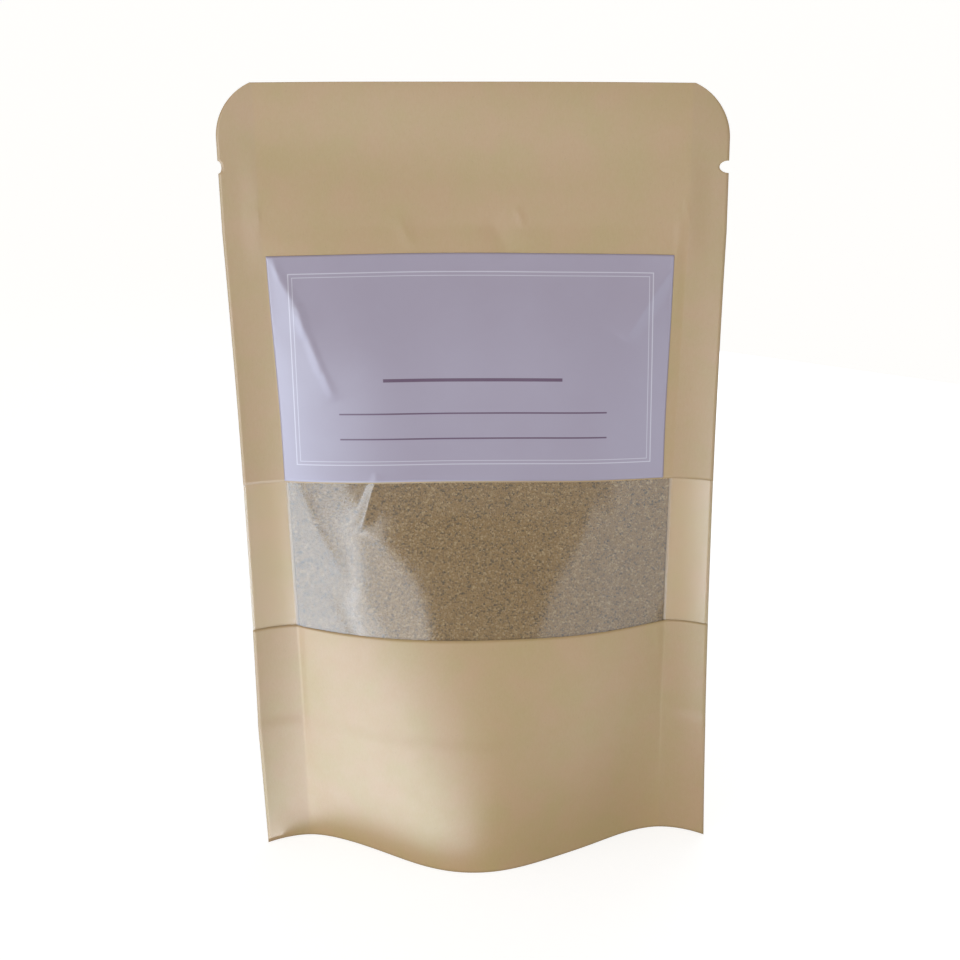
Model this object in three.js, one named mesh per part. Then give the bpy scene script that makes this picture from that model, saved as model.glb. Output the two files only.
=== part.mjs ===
// A stand-up zip pouch of brown kraft paper, filled with ground sage and sealed.
// The front is kraft above and below a clear band of film that crosses the whole width, and a
// plain coloured label covers the kraft above the band. A folded gusset opens into the base.
// Millimetres, +Z up, front towards -Y. The hem stands at z = 0, centred on the origin.
import * as THREE from 'three';

// Outline of the flat pouch
const WIDTH = 120;
const HEIGHT = 200;
const SEAL_AT_TOP = 9;
const SEAL_AT_HEM = 12;
const CORNER_RADIUS = 14;
const CORNER_DROP = 12.8;
const NOTCH_DROP = 19.5;
const NOTCH_HEIGHT = 3;
const LEFT_NOTCH_DEPTH = 0.8;
const RIGHT_NOTCH_DEPTH = 2.2;

// Form of the filled pouch. The fill bulges most at the hem, and the air above it makes a flat
// pillow with steep shoulders behind the label.
const BULGE_DEPTH = 19.4;
const BULGE_HEIGHT = 128;
const HEADSPACE_DEPTH = 2.5;
const HEADSPACE_FOOT = 90;
const HEADSPACE_TOP = 167;
const CROWN_SHIFT = 0.037;
const DOME_POWER = 2.5;
const SHOULDER_POWER = 4.5;
const SHOULDER_FOOT = 70;
const SHOULDER_TOP = 120;
const HEM_CURVE_HEIGHT = 60;
const SLACK_HEIGHT = 165;
const HEM_LOSS = 0.9;
const WAIST_LOSS = 1.0;
const TOP_BOW = 4.9;
const TOP_RETURN = 0.55;
const RETURN_FOOT = 176;
const HEM_FLARE = 4.4;
const HEM_SET = 1.7;
const SET_FROM = 25;
const HEM_FULLNESS = 0.85;
const HEM_TUCK = 1.3;
const TUCK_HEIGHT = 35;

// Sheets, and the clear gap between neighbours
const GAP = 0.3;
const PAPER = 0.35;
const FILM = 0.25;
const GUSSET = 0.3;
const LABEL = 0.2;
const INNER_GAP = 0.15;
const FILM_CLEAR = 0.35;
const LAMINATE = FILM + FILM_CLEAR;
const LAMINATE_TOP = 118;
const LAMINATE_END = 140;

// Window band
const WINDOW_BOTTOM = 62;
const WINDOW_TOP = 101.4;
const FILM_LAP = 4;

// Label
const LABEL_LEFT = -49.9;
const LABEL_RIGHT = 47.4;
const LABEL_BOTTOM = 101.8;
const LABEL_TOP = 159;

// Zip: a rib on the front strip pressed into a groove on the back strip
const ZIP_HEIGHT = 170;
const ZIP_BAND = 8;
const ZIP_RISE = 1.0;
const ZIP_FADE = 6;
const ZIP_CRUSH = 5;
const ZIP_END = 1.5;
const STRIP = 0.3;
const RIB = 0.8;
const RIB_REACH = 0.8;
const LIP = 0.4;
const LIP_REACH = 0.8;

// Base fold
const FOLD_DEPTH = 35;
const HEM_SEAL = 7;
const FLOOR_END = 0.35;
const FOLD_START = 0.9;
const FOLD_RADIUS = 2.5;
const FLOOR_TURN = 0.4;
const GUSSET_INSET = 0.5;

// Ground sage
const FILL_TOP = 106;
const FILL_SPAN = 0.94;
const FILL_RIPPLE = 1.2;
const RIPPLE_LENGTH = 9;
const RIPPLE_DRIFT = 23;
const FILL_CLEAR = 0.1;
const FILL_FOOT = 1.5;
const FLOOR_REACH = 0.96;
const CLOSED_FROM = 0.4;
const CLOSED_TO = 0.65;

// Mesh steps, and the shares of a notch and of a corner where rows are added
const BODY_STEPS = 16;
const FLANGE_STEPS = 2;
const LABEL_STEPS = 14;
const ZIP_STEPS = 12;
const UPPER_ROWS = 9;
const LOWER_ROWS = 10;
const WINDOW_ROWS = 5;
const FILM_ROWS = 6;
const LABEL_ROWS = 7;
const FILL_ROWS = 12;
const LEG_STEPS = 6;
const TIP_STEPS = 4;
const ROW_CLEAR = 1;
const NOTCH_SHARES = [-0.5, -0.35, 0, 0.35, 0.5];
const CORNER_SHARES = [0, 0.35, 0.6, 0.8, 0.93];

const materials = {
  kraft: new THREE.MeshStandardMaterial({ color: 0xb8a280, roughness: 0.55, metalness: 0 }),
  film: new THREE.MeshStandardMaterial({ color: 0xe8e6de, roughness: 0.12, metalness: 0 }),
  label: new THREE.MeshStandardMaterial({ color: 0xb3adc4, roughness: 0.3, metalness: 0 }),
  zip: new THREE.MeshStandardMaterial({ color: 0xe6e4dc, roughness: 0.35, metalness: 0 }),
  sage: new THREE.MeshStandardMaterial({ color: 0x8a7852, roughness: 0.95, metalness: 0 }),
};

const clamp01 = (value) => Math.min(1, Math.max(0, value));

function ease(from, to, value) {
  const s = clamp01((value - from) / (to - from));
  return s * s * (3 - 2 * s);
}

function mix(a, b, weight) {
  return a + (b - a) * weight;
}

// Half width of the body: the fill draws the sides in a little below the zip.
function bodyHalf(z) {
  const s = clamp01(1 - z / SLACK_HEIGHT);
  return WIDTH / 2 - HEM_LOSS * s - WAIST_LOSS * 4 * s * (1 - s);
}

// Half width of the cut outline, with the round top corners, the tear notches and the left edge
// drawn in at the hem.
function outlineHalf(z, side) {
  const rise = Math.max(0, z - (HEIGHT - CORNER_DROP));
  const corner = CORNER_RADIUS - Math.sqrt(CORNER_RADIUS ** 2 - rise ** 2);
  const notch = Math.min(1, Math.abs(z - (HEIGHT - NOTCH_DROP)) / (NOTCH_HEIGHT / 2));
  const depth = side < 0 ? LEFT_NOTCH_DEPTH : RIGHT_NOTCH_DEPTH;
  const tuck = side < 0 ? HEM_TUCK * clamp01(1 - z / TUCK_HEIGHT) : 0;
  return bodyHalf(z) - corner - tuck - depth * Math.sqrt(1 - notch ** 2);
}

// Half width between the side seals, which are wider at the hem.
function sealHalf(z) {
  return bodyHalf(z) - mix(SEAL_AT_HEM, SEAL_AT_TOP, Math.min(1, z / SLACK_HEIGHT));
}

// Share of the full bulge across the body, t = -1 to 1 between the side seals.
function crown(t, z) {
  if (Math.abs(t) >= 1) {
    return 0;
  }
  const s = t + CROWN_SHIFT * (1 - t * t);
  const power = mix(DOME_POWER, SHOULDER_POWER, ease(SHOULDER_FOOT, SHOULDER_TOP, z));
  const dome = 1 - Math.abs(s) ** power;
  const wave = ((1 + Math.cos(Math.PI * s)) / 2) ** HEM_FULLNESS;
  return mix(dome, wave, clamp01(1 - z / HEM_CURVE_HEIGHT));
}

function bulge(x, z) {
  const fill = BULGE_DEPTH * (1 + Math.cos(Math.PI * Math.min(1, z / BULGE_HEIGHT))) / 2;
  const level = clamp01((z - HEADSPACE_FOOT) / (HEADSPACE_TOP - HEADSPACE_FOOT));
  const air = HEADSPACE_DEPTH * Math.sin(Math.PI * level) ** 2;
  return (fill + air) * crown(x / sealHalf(z), z);
}

// Middle plane of the pouch. The centre sits back at the zip and returns at the top edge. The
// side seals flare forward towards the hem, and the right half of the hem sits back a little.
function middle(x, z) {
  const low = clamp01(1 - z / SLACK_HEIGHT);
  const bow = TOP_BOW * (1 - (2 * x / WIDTH) ** 2) * (1 - low) ** 2;
  const returned = bow * (1 - TOP_RETURN * ease(RETURN_FOOT, HEIGHT, z));
  const out = clamp01((Math.abs(x) - sealHalf(z)) / (bodyHalf(z) - sealHalf(z)));
  const set = HEM_SET * ease(SET_FROM, sealHalf(0), x);
  return returned + (set - HEM_FLARE * out ** 2) * low;
}

function zipRise(x, z) {
  const away = Math.max(0, Math.abs(z - ZIP_HEIGHT) - ZIP_BAND / 2 - ZIP_END);
  const inside = 1 - ease(0, ZIP_CRUSH, Math.abs(x) - sealHalf(z));
  return ZIP_RISE * (1 - ease(0, ZIP_FADE, away)) * inside;
}

// Distance from the middle plane to the inside of the film, and to the inside of the kraft.
const filmDepth = (x, z) => INNER_GAP + bulge(x, z);
const laminate = (z) => LAMINATE * (1 - ease(LAMINATE_TOP, LAMINATE_END, z));
const kraftDepth = (x, z) => filmDepth(x, z) + laminate(z) + zipRise(x, z);

// A closed mesh from points and triangles, turned so that its faces point outwards.
function solid(name, material, points, triangles) {
  const [a, b, c] = [new THREE.Vector3(), new THREE.Vector3(), new THREE.Vector3()];
  let volume = 0;
  for (const [i, j, k] of triangles) {
    a.fromArray(points[i]);
    b.fromArray(points[j]);
    c.fromArray(points[k]);
    volume += a.dot(b.cross(c));
  }
  const faces = volume < 0 ? triangles.map(([i, j, k]) => [i, k, j]) : triangles;
  const geometry = new THREE.BufferGeometry();
  geometry.setAttribute('position', new THREE.Float32BufferAttribute(points.flat(), 3));
  geometry.setIndex(faces.flat());
  geometry.computeVertexNormals();
  const mesh = new THREE.Mesh(geometry, material);
  mesh.name = name;
  return mesh;
}

// A sheet with two faces on one grid. rows[j][i] = [pointOnOneFace, pointOnTheOther].
function sheet(name, material, rows) {
  const columns = rows[0].length;
  const points = [];
  const triangles = [];
  const index = (i, j, face) => 2 * (j * columns + i) + face;
  const quad = (p, q, r, s) => triangles.push([p, q, r], [p, r, s]);
  const edge = ([i, j], [k, l]) => (
    quad(index(i, j, 0), index(i, j, 1), index(k, l, 1), index(k, l, 0))
  );
  rows.forEach((row) => row.forEach((pair) => points.push(...pair)));
  for (let j = 0; j + 1 < rows.length; j += 1) {
    for (let i = 0; i + 1 < columns; i += 1) {
      quad(index(i, j, 0), index(i + 1, j, 0), index(i + 1, j + 1, 0), index(i, j + 1, 0));
      quad(index(i, j, 1), index(i, j + 1, 1), index(i + 1, j + 1, 1), index(i + 1, j, 1));
    }
  }
  const lastRow = rows.length - 1;
  const lastColumn = columns - 1;
  for (let i = 0; i < lastColumn; i += 1) {
    edge([i, 0], [i + 1, 0]);
    edge([i + 1, lastRow], [i, lastRow]);
  }
  for (let j = 0; j < lastRow; j += 1) {
    edge([0, j + 1], [0, j]);
    edge([lastColumn, j], [lastColumn, j + 1]);
  }
  return solid(name, material, points, triangles);
}

// A bar through rings of equal point count, with flat ends. Its rings follow each other along X.
function loft(name, material, rings) {
  const count = rings[0].length;
  const points = rings.flat();
  const triangles = [];
  for (let j = 0; j + 1 < rings.length; j += 1) {
    for (let i = 0; i < count; i += 1) {
      const next = (i + 1) % count;
      const [p, q] = [j * count + i, j * count + next];
      triangles.push([p, q, q + count], [p, q + count, p + count]);
    }
  }
  const cap = (ring, start, reversed) => {
    const outline = ring.map(([, y, z]) => new THREE.Vector2(y, z));
    const faces = THREE.ShapeUtils.triangulateShape(outline, []);
    const areaOf = (face) => THREE.ShapeUtils.area(face.map((i) => outline[i]));
    const covered = faces.reduce((sum, face) => sum + areaOf(face), 0);
    const turned = (covered * THREE.ShapeUtils.area(outline) < 0) !== reversed;
    for (const [i, j, k] of faces) {
      triangles.push(turned ? [start + i, start + k, start + j] : [start + i, start + j, start + k]);
    }
  };
  cap(rings[0], 0, true);
  cap(rings[rings.length - 1], points.length - count, false);
  return solid(name, material, points, triangles);
}

// Places across the pouch: fine between the seals, then out to the cut edge.
function columnsAt(z, inset = 0) {
  const seal = sealHalf(z);
  const xs = [];
  for (let i = 0; i <= BODY_STEPS; i += 1) {
    xs.push(seal * (2 * i / BODY_STEPS - 1));
  }
  for (let i = 1; i <= FLANGE_STEPS; i += 1) {
    xs.unshift(-mix(seal, outlineHalf(z, -1) - inset, i / FLANGE_STEPS));
    xs.push(mix(seal, outlineHalf(z, 1) - inset, i / FLANGE_STEPS));
  }
  return xs;
}

// Even rows between two heights and the extra ones. An even row close to an extra one is left out.
function heights(from, to, steps, extra = []) {
  const even = Array.from({ length: steps + 1 }, (_, i) => mix(from, to, i / steps));
  const clear = (z) => extra.every((e) => Math.abs(e - z) > ROW_CLEAR);
  const kept = even.filter((z) => z === from || z === to || clear(z));
  return [...kept, ...extra].sort((a, b) => a - b);
}

function notchHeights() {
  const middleHeight = HEIGHT - NOTCH_DROP;
  return NOTCH_SHARES.map((share) => middleHeight + share * NOTCH_HEIGHT);
}

function zipHeights() {
  const edge = ZIP_BAND / 2 + ZIP_END;
  return [-edge - ZIP_FADE, -edge - ZIP_FADE / 2, -edge, edge, edge + ZIP_FADE / 2]
    .map((offset) => ZIP_HEIGHT + offset);
}

// A curved panel between two heights. side is -1 for the front and 1 for the back.
function panel(name, material, zs, side, depth, thickness, xsAt = columnsAt) {
  const rows = zs.map((z) => xsAt(z).map((x) => {
    const inner = depth(x, z);
    return [
      [x, middle(x, z) + side * inner, z],
      [x, middle(x, z) + side * (inner + thickness), z],
    ];
  }));
  return sheet(name, material, rows);
}

function labelColumns(z) {
  const shrink = bodyHalf(z) / (WIDTH / 2);
  return Array.from({ length: LABEL_STEPS + 1 }, (_, i) => (
    shrink * mix(LABEL_LEFT, LABEL_RIGHT, i / LABEL_STEPS)
  ));
}

// Middle line of the gusset at x, front half, from the foot of the hem to the fold. Between
// the seals it lies flat on the table; towards them it rises into the folded flap.
function gussetHalf(x) {
  const t = Math.abs(x) / sealHalf(0);
  const fold = ease(FLOOR_END, FOLD_START, t);
  const half = kraftDepth(x, 0) - GAP - GUSSET / 2;
  const radius = Math.min(half, FOLD_RADIUS);
  const line = [[half, 0], [half, HEM_SEAL]];
  for (let i = 1; i <= LEG_STEPS + TIP_STEPS; i += 1) {
    const v = i / (LEG_STEPS + TIP_STEPS);
    const flat = [half * (1 - v), mix(HEM_SEAL, GUSSET / 2, ease(0, FLOOR_TURN, v))];
    const leg = Math.min(1, i / LEG_STEPS);
    const tip = Math.max(0, i - LEG_STEPS) / TIP_STEPS * Math.PI / 2;
    const steep = i <= LEG_STEPS
      ? [mix(half, radius, leg), mix(HEM_SEAL, FOLD_DEPTH - radius, leg)]
      : [radius * Math.cos(tip), FOLD_DEPTH - radius + radius * Math.sin(tip)];
    line.push([mix(flat[0], steep[0], fold), mix(flat[1], steep[1], fold)]);
  }
  line[line.length - 1][0] = 0;
  return line;
}

function gussetLine(x) {
  const half = gussetHalf(x);
  const front = half.map(([y, z]) => [-y, z]);
  const back = half.slice(0, -1).reverse();
  return [...front, ...back];
}

// Both faces of a line in the YZ plane, set off by the same distance on each side.
function offsetPairs(line, distance) {
  return line.map(([y, z], i) => {
    const before = line[Math.max(0, i - 1)];
    const after = line[Math.min(line.length - 1, i + 1)];
    const into = new THREE.Vector2(y - before[0], z - before[1]).normalize();
    const out = new THREE.Vector2(after[0] - y, after[1] - z).normalize();
    if (i === 0) {
      into.copy(out);
    }
    if (i === line.length - 1) {
      out.copy(into);
    }
    const along = into.clone().add(out).normalize();
    const reach = distance / Math.max(0.5, along.dot(out));
    return [
      [y + along.y * reach, z - along.x * reach],
      [y - along.y * reach, z + along.x * reach],
    ];
  });
}

function bottomGusset() {
  const rows = columnsAt(0, GUSSET_INSET).map((x) => (
    offsetPairs(gussetLine(x), GUSSET / 2).map((pair) => pair.map(([y, z]) => (
      [x, middle(x, z) + y, z]
    )))
  ));
  return sheet('bottom_gusset', materials.kraft, rows);
}

// One ring of the sage at t: up the front, over the top, down the back and along the gusset.
function sageRing(t) {
  const x = t * sealHalf(0);
  const clear = GUSSET / 2 + GAP + FILL_CLEAR;
  const closed = ease(CLOSED_FROM, CLOSED_TO, Math.abs(t));
  const floor = offsetPairs(gussetLine(x), clear).slice(2, -2).map(([, upper]) => upper);
  const top = FILL_TOP + FILL_RIPPLE * Math.sin(x / RIPPLE_LENGTH) * Math.cos(x / RIPPLE_DRIFT);
  const wall = (z) => filmDepth(t * sealHalf(z), z) - GAP;
  const foot = mix(HEM_SEAL + FILL_FOOT, FOLD_DEPTH + 1, closed);
  const levels = heights(foot, top, FILL_ROWS);
  const front = levels.map((z) => [-wall(z), z]);
  const back = levels.map((z) => [wall(z), z]).reverse();
  const reach = FLOOR_REACH * wall(foot);
  const base = floor.reverse().map(([y, z], i) => {
    const even = 1 - 2 * i / (floor.length - 1);
    const share = mix(Math.max(-1, Math.min(1, y / reach)), even, closed);
    return [share * reach, mix(Math.max(z, GUSSET + GAP), foot, closed)];
  });
  return [...front, ...back, ...base].map(([y, z]) => {
    const xHere = t * sealHalf(z);
    return [xHere, middle(xHere, z) + y, z];
  });
}

function groundSage() {
  const ts = Array.from({ length: BODY_STEPS + 1 }, (_, i) => 2 * i / BODY_STEPS - 1);
  const rings = ts.map((t) => sageRing(Math.max(-FILL_SPAN, Math.min(FILL_SPAN, t))));
  return loft('ground_sage', materials.sage, rings);
}

// Zip strips run between the side seals and follow the bow of the pouch.
function zipStrip(name, profile) {
  const reach = sealHalf(ZIP_HEIGHT) - ZIP_END;
  const xs = Array.from({ length: ZIP_STEPS + 1 }, (_, i) => reach * (2 * i / ZIP_STEPS - 1));
  const rings = xs.map((x) => profile.map(([y, z]) => (
    [x, middle(x, ZIP_HEIGHT) + y, ZIP_HEIGHT + z]
  )));
  return loft(name, materials.zip, rings);
}

function zipStrips() {
  const outer = INNER_GAP + ZIP_RISE - GAP;
  const inner = outer - STRIP;
  const half = ZIP_BAND / 2;
  const groove = RIB / 2 + GAP;
  const rib = [
    [-outer, -half], [-inner, -half], [-inner, -RIB / 2], [-inner + RIB_REACH, -RIB / 2],
    [-inner + RIB_REACH, RIB / 2], [-inner, RIB / 2], [-inner, half], [-outer, half],
  ];
  const lips = [
    [outer, -half], [outer, half], [inner, half], [inner, groove + LIP],
    [inner - LIP_REACH, groove + LIP], [inner - LIP_REACH, groove], [inner, groove],
    [inner, -groove], [inner - LIP_REACH, -groove], [inner - LIP_REACH, -groove - LIP],
    [inner, -groove - LIP], [inner, -half],
  ];
  return [zipStrip('front_zip_strip', rib), zipStrip('back_zip_strip', lips)];
}

const cornerHeights = CORNER_SHARES.map((share) => HEIGHT - CORNER_DROP * (1 - share));
const cutHeights = [...zipHeights(), ...notchHeights(), ...cornerHeights];
const upperHeights = heights(WINDOW_TOP, HEIGHT, UPPER_ROWS, cutHeights);
const lowerHeights = heights(0, WINDOW_BOTTOM, LOWER_ROWS);
const windowHeights = heights(WINDOW_BOTTOM, WINDOW_TOP, WINDOW_ROWS).slice(1, -1);
const backHeights = [...lowerHeights, ...windowHeights, ...upperHeights];
const filmHeights = heights(WINDOW_BOTTOM - FILM_LAP, WINDOW_TOP + FILM_LAP, FILM_ROWS);
const labelHeights = heights(LABEL_BOTTOM, LABEL_TOP, LABEL_ROWS, [zipHeights()[0]]);
const labelDepth = (x, z) => kraftDepth(x, z) + PAPER + GAP;

const pouch = new THREE.Group();
pouch.name = 'stand_up_pouch';
pouch.add(
  panel('back_panel', materials.kraft, backHeights, 1, kraftDepth, PAPER),
  panel('front_upper_panel', materials.kraft, upperHeights, -1, kraftDepth, PAPER),
  panel('front_lower_panel', materials.kraft, lowerHeights, -1, kraftDepth, PAPER),
  panel('window_film', materials.film, filmHeights, -1, filmDepth, FILM),
  panel('label', materials.label, labelHeights, -1, labelDepth, LABEL, labelColumns),
  bottomGusset(),
  groundSage(),
  ...zipStrips(),
);

export default pouch;
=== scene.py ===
# %% [markdown]
# # A stand-up pouch of ground sage
# The real thing is a sealed kraft-paper pouch. A clear band of film crosses its front, a lavender
# label covers the paper above the band, and finely ground dried sage fills it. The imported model
# gives every piece at its real size. This lesson dresses those pieces: each sheet is made again at
# its true thickness, with the small folds that catch the light, and each gets its own finish.

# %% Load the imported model
import math

import bpy
import numpy as np
from mathutils import Matrix, Vector


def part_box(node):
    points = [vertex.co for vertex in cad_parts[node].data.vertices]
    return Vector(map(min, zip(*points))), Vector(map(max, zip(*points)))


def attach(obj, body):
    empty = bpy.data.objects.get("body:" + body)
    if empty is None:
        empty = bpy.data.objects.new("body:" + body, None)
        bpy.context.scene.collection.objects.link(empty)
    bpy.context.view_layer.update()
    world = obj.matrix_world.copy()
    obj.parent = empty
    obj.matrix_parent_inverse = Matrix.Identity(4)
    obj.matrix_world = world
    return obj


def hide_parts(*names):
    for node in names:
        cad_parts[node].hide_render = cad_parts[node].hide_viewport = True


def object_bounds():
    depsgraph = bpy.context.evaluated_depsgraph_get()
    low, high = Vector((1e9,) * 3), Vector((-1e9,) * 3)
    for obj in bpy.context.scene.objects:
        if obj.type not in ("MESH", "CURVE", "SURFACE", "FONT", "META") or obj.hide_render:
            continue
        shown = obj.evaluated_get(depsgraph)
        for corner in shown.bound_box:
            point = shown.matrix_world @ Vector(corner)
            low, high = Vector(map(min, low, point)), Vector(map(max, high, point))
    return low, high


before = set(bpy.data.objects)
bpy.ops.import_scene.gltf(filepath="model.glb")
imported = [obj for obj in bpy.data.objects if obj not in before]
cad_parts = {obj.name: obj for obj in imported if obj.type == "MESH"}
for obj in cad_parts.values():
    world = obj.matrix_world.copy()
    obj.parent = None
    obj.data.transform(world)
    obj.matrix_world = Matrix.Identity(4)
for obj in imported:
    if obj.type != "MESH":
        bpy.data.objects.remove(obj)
cad_low, cad_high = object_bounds()
MM = 0.001
print("packed model, mm:", [round(v / MM, 2) for v in (*cad_low, *cad_high)])


def add_object(name, data):
    """A new object at the origin, unturned and unscaled."""
    added = bpy.data.objects.new(name, data)
    bpy.context.scene.collection.objects.link(added)
    return added


# %% [markdown]
# ## The form of the filled pouch
# A pouch is flat sheets held together at the edges, so its form is one rule: how far each point of
# the front stands off the middle plane. The fill pushes it out most at the hem, air above the fill
# makes a flat pillow behind the label, and both end at the side seals. One set of formulas serves
# every sheet, so that the plies follow each other and never cross. All lengths here are millimetres.

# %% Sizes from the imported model
SIZE = (cad_high - cad_low) / MM
WIDTH = SIZE.x
HEIGHT = SIZE.z
WINDOW_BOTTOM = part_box("front_lower_panel")[1].z / MM
WINDOW_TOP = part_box("front_upper_panel")[0].z / MM
LABEL_LOW, LABEL_HIGH = [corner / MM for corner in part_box("label")]
FILM_LOW, FILM_HIGH = [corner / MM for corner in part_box("window_film")]
ZIP_LOW, ZIP_HIGH = [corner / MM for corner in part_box("front_zip_strip")]
ZIP_HEIGHT = (ZIP_LOW.z + ZIP_HIGH.z) / 2
print("window", WINDOW_BOTTOM, "to", WINDOW_TOP, "zip at", ZIP_HEIGHT)

# %% Sizes of the form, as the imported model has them
SEAL_AT_TOP = 9.0
SEAL_AT_HEM = 12.0
CORNER_RADIUS = 14.0
CORNER_DROP = 12.8
NOTCH_DROP = 19.5
NOTCH_HEIGHT = 3.0
LEFT_NOTCH_DEPTH = 0.8
RIGHT_NOTCH_DEPTH = 2.2
BULGE_DEPTH = 19.4
BULGE_HEIGHT = 128.0
HEADSPACE_DEPTH = 2.6
HEADSPACE_FOOT = 90.0
HEADSPACE_TOP = 167.0
CROWN_SHIFT = 0.037
DOME_POWER = 2.5
SHOULDER_POWER = 4.5
SHOULDER_FOOT = 70.0
SHOULDER_TOP = 120.0
HEM_CURVE_HEIGHT = 60.0
SLACK_HEIGHT = 165.0
HEM_LOSS = 0.9
WAIST_LOSS = 1.0
TOP_BOW = 4.9
TOP_RETURN = 0.55
RETURN_FOOT = 176.0
HEM_FLARE = 4.4
HEM_SET = 1.7
SET_FROM = 25.0
HEM_FULLNESS = 0.85
HEM_TUCK = 1.3
TUCK_HEIGHT = 35.0
ZIP_BAND = 8.0
ZIP_RISE = 0.36
ZIP_FADE = 12.0
ZIP_END = 1.5
ZIP_CRUSH = 5.0
FOLD_DEPTH = 35.0
HEM_SEAL = 7.0


# %% Formulas of the form
def ease(start, end, value):
    share = np.clip((value - start) / (end - start), 0, 1)
    return share * share * (3 - 2 * share)


def mix(a, b, weight):
    return a + (b - a) * weight


def body_half(z):
    """Half width of the body. The fill draws the sides in a little below the zip."""
    slack = np.clip(1 - z / SLACK_HEIGHT, 0, 1)
    return WIDTH / 2 - HEM_LOSS * slack - WAIST_LOSS * 4 * slack * (1 - slack)


def seal_half(z):
    """Half width between the side seals."""
    return body_half(z) - mix(SEAL_AT_HEM, SEAL_AT_TOP, np.minimum(1, z / SLACK_HEIGHT))


def outline_half(z, notch_depth, hem_tuck=0.0):
    """Half width of the cut edge, with its round top corners, tear notches and tucked hem."""
    rise = np.maximum(0, z - (HEIGHT - CORNER_DROP))
    corner = CORNER_RADIUS - np.sqrt(CORNER_RADIUS**2 - rise**2)
    notch = np.minimum(1, np.abs(z - (HEIGHT - NOTCH_DROP)) / (NOTCH_HEIGHT / 2))
    tuck = hem_tuck * np.clip(1 - z / TUCK_HEIGHT, 0, 1)
    return body_half(z) - corner - tuck - notch_depth * np.sqrt(1 - notch**2)


def crown(t, z):
    """Share of the full bulge across the body, with t from -1 to 1 between the seals."""
    s = t + CROWN_SHIFT * (1 - t * t)
    power = mix(DOME_POWER, SHOULDER_POWER, ease(SHOULDER_FOOT, SHOULDER_TOP, z))
    dome = 1 - np.abs(s) ** power
    wave = ((1 + np.cos(np.pi * s)) / 2) ** HEM_FULLNESS
    inside = mix(dome, wave, np.clip(1 - z / HEM_CURVE_HEIGHT, 0, 1))
    return np.where(np.abs(t) >= 1, 0, inside)


def bulge(x, z):
    fill = BULGE_DEPTH * (1 + np.cos(np.pi * np.minimum(1, z / BULGE_HEIGHT))) / 2
    level = np.clip((z - HEADSPACE_FOOT) / (HEADSPACE_TOP - HEADSPACE_FOOT), 0, 1)
    air = HEADSPACE_DEPTH * np.sin(np.pi * level) ** 2
    return (fill + air) * crown(x / seal_half(z), z)


def zip_rise(x, z):
    away = np.maximum(0, np.abs(z - ZIP_HEIGHT) - ZIP_BAND / 2 - ZIP_END)
    inside = 1 - ease(0, ZIP_CRUSH, np.abs(x) - seal_half(z))
    return ZIP_RISE * (1 - ease(0, ZIP_FADE, away)) * inside


print("front stands off the middle by", round(float(bulge(0.0, 0.0)), 2), "mm at the hem")

# %% [markdown]
# ## Creases and soft waves
# Filled paper is never smooth. It keeps soft waves a few centimetres long, and short creases run
# in from the corners of the label, where the stiff label stops the paper from bending. A crease is
# a low ridge with a steep face on one side. Each one is added to the stand-off, so that label,
# paper and film all carry it. Waves of the sealed margins move both faces at once, so they are
# added to the middle plane.

# %% Soft waves
WAVES = 12
WAVE_SPREAD = (0.7, 1.7)


def soft_waves(x, z, seed, length, height):
    """A sum of sine waves in seeded directions, as paper keeps after handling."""
    draw = np.random.default_rng(seed)
    total = np.zeros(np.broadcast(x, z).shape)
    for _ in range(WAVES):
        turn = draw.uniform(0, np.pi)
        wave = length * draw.uniform(*WAVE_SPREAD)
        phase = draw.uniform(0, 2 * np.pi)
        total += np.sin(2 * np.pi * (x * np.cos(turn) + z * np.sin(turn)) / wave + phase)
    return height * total / math.sqrt(WAVES / 2)


print("waves in each sum", WAVES)


# %% Creases, each as start, end, height, reach to the east and west, and sharpness
def crease(x, z, start, end, height, east, west, sharp=1.5):
    """A ridge down from start to end that falls away over `east` and `west` millimetres."""
    way = np.array(end) - np.array(start)
    length = float(np.hypot(*way))
    along = ((x - start[0]) * way[0] + (z - start[1]) * way[1]) / length**2
    across = ((z - start[1]) * way[0] - (x - start[0]) * way[1]) / length
    reach = np.where(across > 0, east, west)
    side = np.clip(1 - np.abs(across) / reach, 0, 1) ** sharp
    return height * side * np.sin(np.pi * np.clip(along, 0, 1)) ** 0.5


FRONT_CREASES = [
    ((-49.7, 159), (-41.7, 138.5), 0.3, 8, 5, 2.2),
    ((-43.6, 147), (-35.2, 123), 0.22, 9, 6, 2.2),
    ((-49.5, 158.8), (-46, 152), 0.09, 1.4, 1.2, 1),
    ((-46.4, 152.8), (-43.1, 145.8), 0.16, 1.6, 1.2, 1),
    ((-43.4, 147.2), (-41.8, 140.2), 0.2, 1.8, 1.4, 1),
    ((-42.3, 142), (-38.5, 130), 0.15, 1.8, 1.4, 1),
    ((-39.3, 132.2), (-35.5, 124.2), 0.09, 1.8, 1.4, 1),
    ((50, 160), (36, 138), 0.55, 3, 8),
    ((49.5, 170), (48, 136), 0.3, 2.5, 2),
    ((-25.4, 104), (-30.5, 89), 0.22, 3.5, 1.6),
    ((46, 62), (49, 36), 0.35, 2.5, 2),
    ((-46, 66), (-47, 30), 0.25, 3, 2),
    ((31.5, 90.5), (39.5, 83.5), -0.32, 2.6, 2.2),
    ((9.8, 170), (11.4, 165.5), 0.16, 1, 1.4),
    ((3, 168), (8, 158), -0.2, 6, 5),
    ((-19, 168), (-15, 160), 0.16, 3, 3),
]
MARGIN_DENTS = [
    ((-53.4, 171), (-53.2, 167), 0.1, 0.7, 0.7),
    ((-51.6, 171), (-51.3, 167), 0.12, 0.7, 0.7),
    ((50.2, 173), (50.9, 167), 0.14, 0.9, 0.7),
]
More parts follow.
